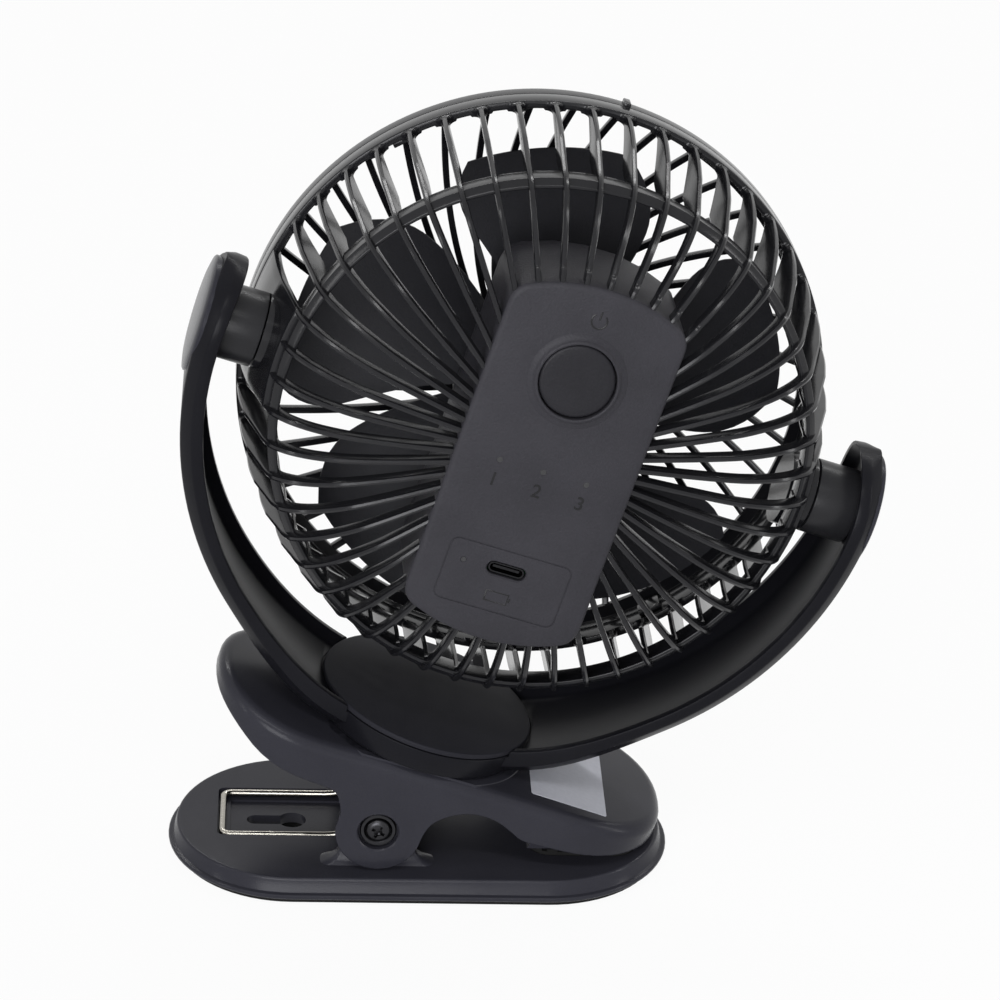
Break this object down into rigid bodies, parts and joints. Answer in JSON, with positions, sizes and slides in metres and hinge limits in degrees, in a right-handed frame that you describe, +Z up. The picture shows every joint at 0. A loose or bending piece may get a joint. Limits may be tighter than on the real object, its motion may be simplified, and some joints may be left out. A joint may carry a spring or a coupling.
{
  "type": "clip fan",
  "caption": "Small battery fan: a caged round head that tilts in a U-shaped yoke on a swivelling turntable, carried by a spring clip that can also stand on a table.",
  "frame": {"origin": "middle of the foot pad's underside, in the plane the fan stands on", "axes": "+Z up from the surface it stands on, +X along the clip towards the grip end, +Y the way the air blows; the picture looks from -Y at the control panel"},
  "size_m": [0.1776, 0.0804, 0.1946],
  "materials": {
    "clip_plastic": "satin, moulded",
    "head_plastic": "satin, fine texture",
    "grille_plastic": "satin",
    "gloss_trim": "smooth, half gloss",
    "rubber_pad": "matt",
    "spring_wire": "bright nickel",
    "bright_steel": "zinc plated",
    "black_steel": "black oxide",
    "board_laminate": "green solder mask",
    "cell_wrap": "shrink sleeve",
    "light_lens": "frosted"
  },
  "bodies": {
    "clip_base": {"lower_jaw": "clip_plastic", "foot_pad": "rubber_pad", "lower_grip_pad": "rubber_pad", "pivot_pin": "bright_steel", "clip_spring": "spring_wire"},
    "clip_lever": {"upper_jaw": "clip_plastic", "upper_grip_pad": "rubber_pad", "pivot_screw_front": "black_steel", "pivot_screw_back": "black_steel", "spring_leg_front": "spring_wire", "spring_leg_back": "spring_wire", "friction_ring": "rubber_pad", "swivel_washer": "bright_steel", "swivel_screw": "bright_steel"},
    "yoke_frame": {"yoke": "clip_plastic", "turntable_cap": "clip_plastic", "yoke_end_cap_left": "gloss_trim", "yoke_end_cap_right": "gloss_trim"},
    "fan_head": {"rear_shell": "head_plastic", "front_grille": "grille_plastic", "grille_badge": "gloss_trim", "box_cover": "head_plastic", "cover_screw_1": "black_steel", "cover_screw_2": "black_steel", "cover_screw_3": "black_steel", "cover_screw_4": "black_steel", "motor_can": "bright_steel", "motor_screw_left": "bright_steel", "motor_screw_right": "bright_steel", "circuit_board": "board_laminate", "usb_c_socket": "bright_steel", "tact_switch": "gloss_trim", "speed_light_1": "light_lens", "speed_light_2": "light_lens", "speed_light_3": "light_lens", "charge_light": "light_lens", "battery_cell_left": "cell_wrap", "battery_cell_right": "cell_wrap", "tilt_bush_left": "gloss_trim", "tilt_bush_right": "gloss_trim", "tilt_screw_left": "bright_steel", "tilt_screw_right": "bright_steel"},
    "rotor": {"impeller": "grille_plastic", "motor_shaft": "bright_steel"},
    "button": {"power_button": "gloss_trim"}
  },
  "joints": [
    {"name": "clip_open", "type": "hinge", "parent": "clip_base", "child": "clip_lever", "pos_m": [-0.0109, 0, 0.0183], "axis": [0, -1, 0], "range_deg": [0, 38], "stiffness_Nm_per_rad": 0.6, "springref_deg": -68.75},
    {"name": "yoke_swivel", "type": "hinge", "parent": "clip_lever", "child": "yoke_frame", "pos_m": [-0.00679, 0, 0.01704], "axis": [0.2924, 0, 0.9563], "continuous": true},
    {"name": "head_tilt", "type": "hinge", "parent": "yoke_frame", "child": "fan_head", "pos_m": [0.02558, 0, 0.12291], "axis": [0.9563, 0, -0.2924], "continuous": true},
    {"name": "fan_spin", "type": "hinge", "parent": "fan_head", "child": "rotor", "pos_m": [0.02558, 0, 0.12291], "axis": [-0.0224, 0.9971, -0.0734], "continuous": true},
    {"name": "power_button_press", "type": "slide", "parent": "fan_head", "child": "button", "axis": [-0.0224, 0.9971, -0.0734], "range_m": [0, 0.0006], "stiffness_N_per_m": 800, "springref_m": -0.0006}
  ]
}
